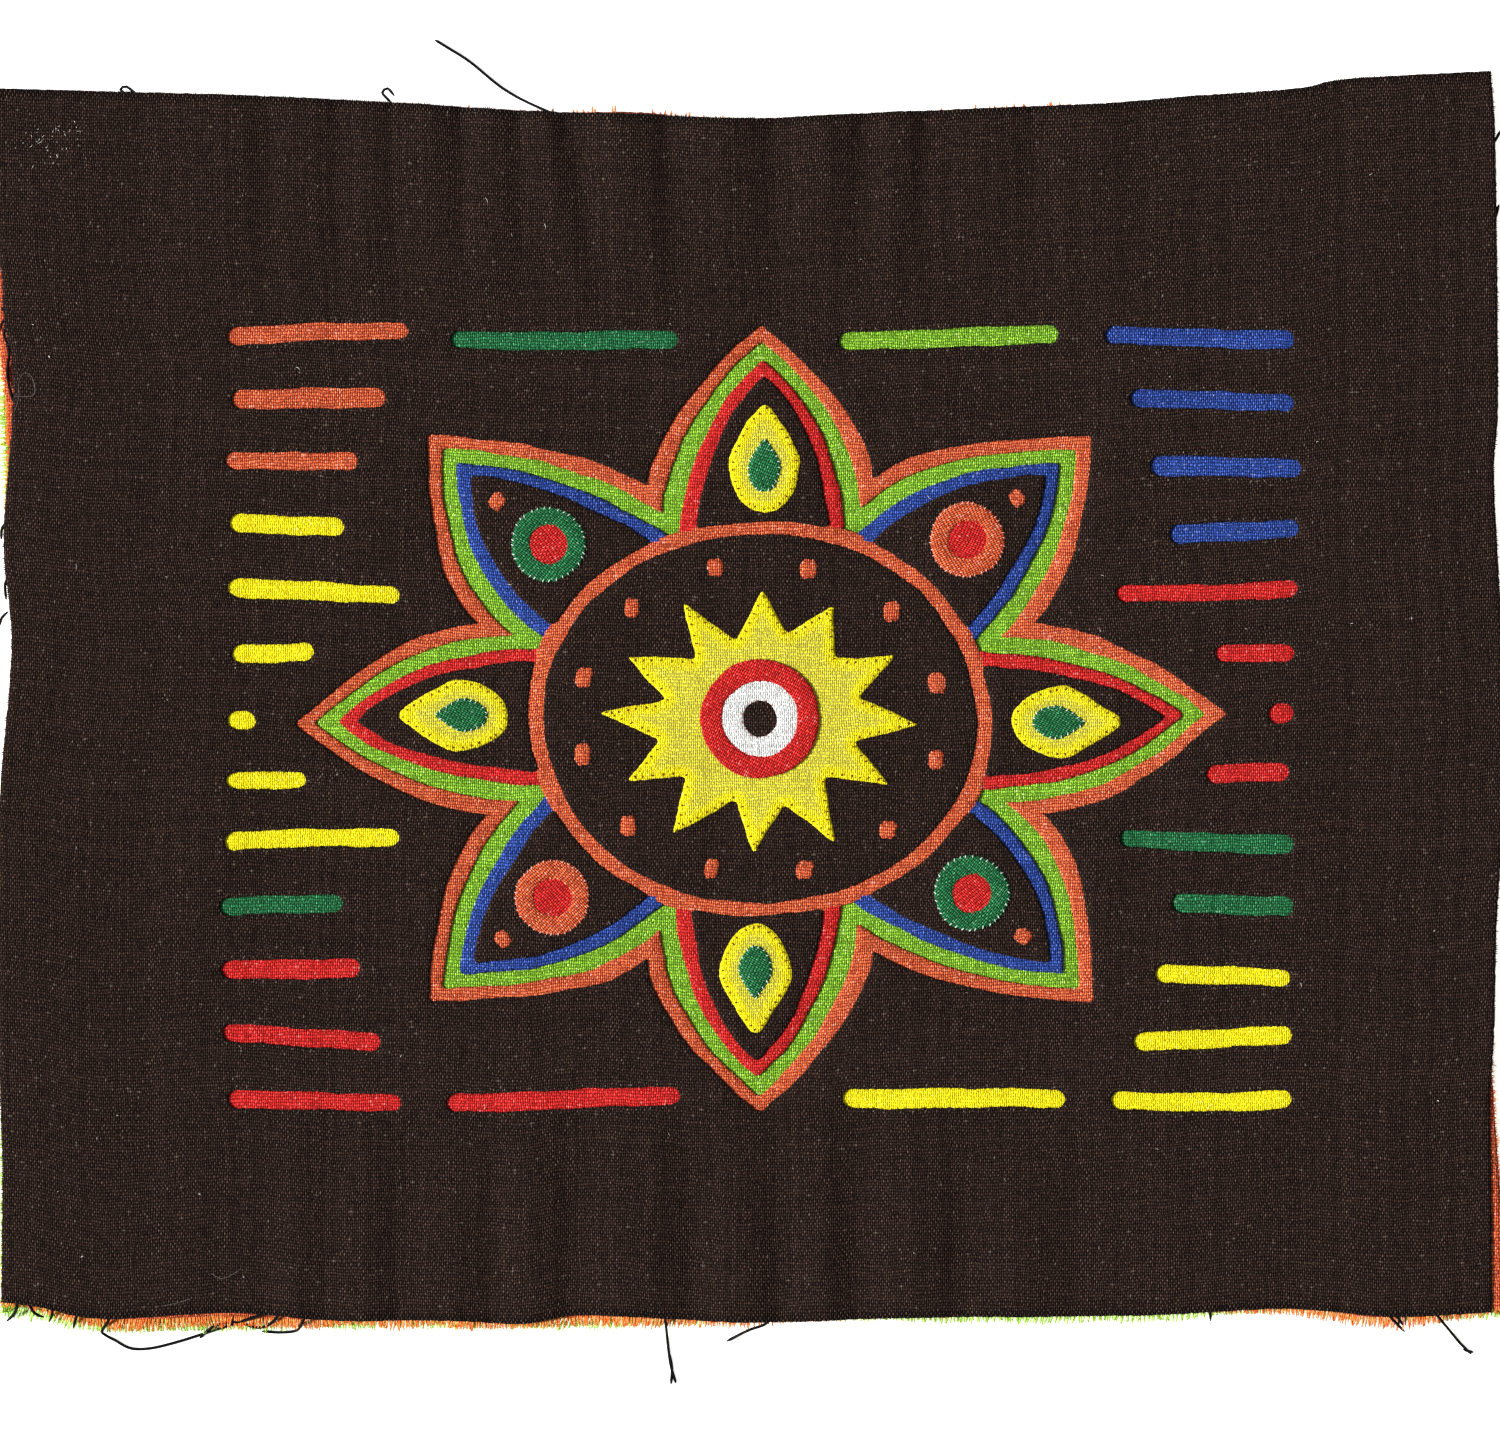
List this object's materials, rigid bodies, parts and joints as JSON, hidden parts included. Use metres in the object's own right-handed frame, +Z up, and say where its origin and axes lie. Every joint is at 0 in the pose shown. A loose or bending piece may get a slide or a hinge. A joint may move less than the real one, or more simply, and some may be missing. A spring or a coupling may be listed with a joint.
{
  "type": "mola panel",
  "caption": "Flat raw-edged textile panel of three layered cotton cloths in reverse applique, with a petalled flower and a field of narrow bars cut through to the colours beneath.",
  "frame": {"origin": "under the middle of the panel's box, on the surface that it lies on", "axes": "+X along the long side, to the right as the panel is looked at; +Y up the short side; +Z up out of the face"},
  "size_m": [0.2264, 0.189, 0.0046],
  "materials": {
    "dark_cotton": "matte plain-weave cotton",
    "orange_cotton": "matte plain-weave cotton",
    "lime_cotton": "matte plain-weave cotton",
    "red_cotton": "matte plain-weave cotton",
    "yellow_cotton": "matte plain-weave cotton",
    "green_cotton": "matte plain-weave cotton",
    "blue_cotton": "matte plain-weave cotton",
    "white_cotton": "matte plain-weave cotton"
  },
  "bodies": {
    "root": {"backing_cloth": "lime_cotton", "middle_cloth": "orange_cotton", "middle_flower": "orange_cotton", "top_cloth": "dark_cotton", "petal_1": "dark_cotton", "petal_2": "dark_cotton", "petal_3": "dark_cotton", "petal_4": "dark_cotton", "petal_5": "dark_cotton", "petal_6": "dark_cotton", "petal_7": "dark_cotton", "petal_8": "dark_cotton", "center_disc": "dark_cotton"}
  },
  "joints": []
}
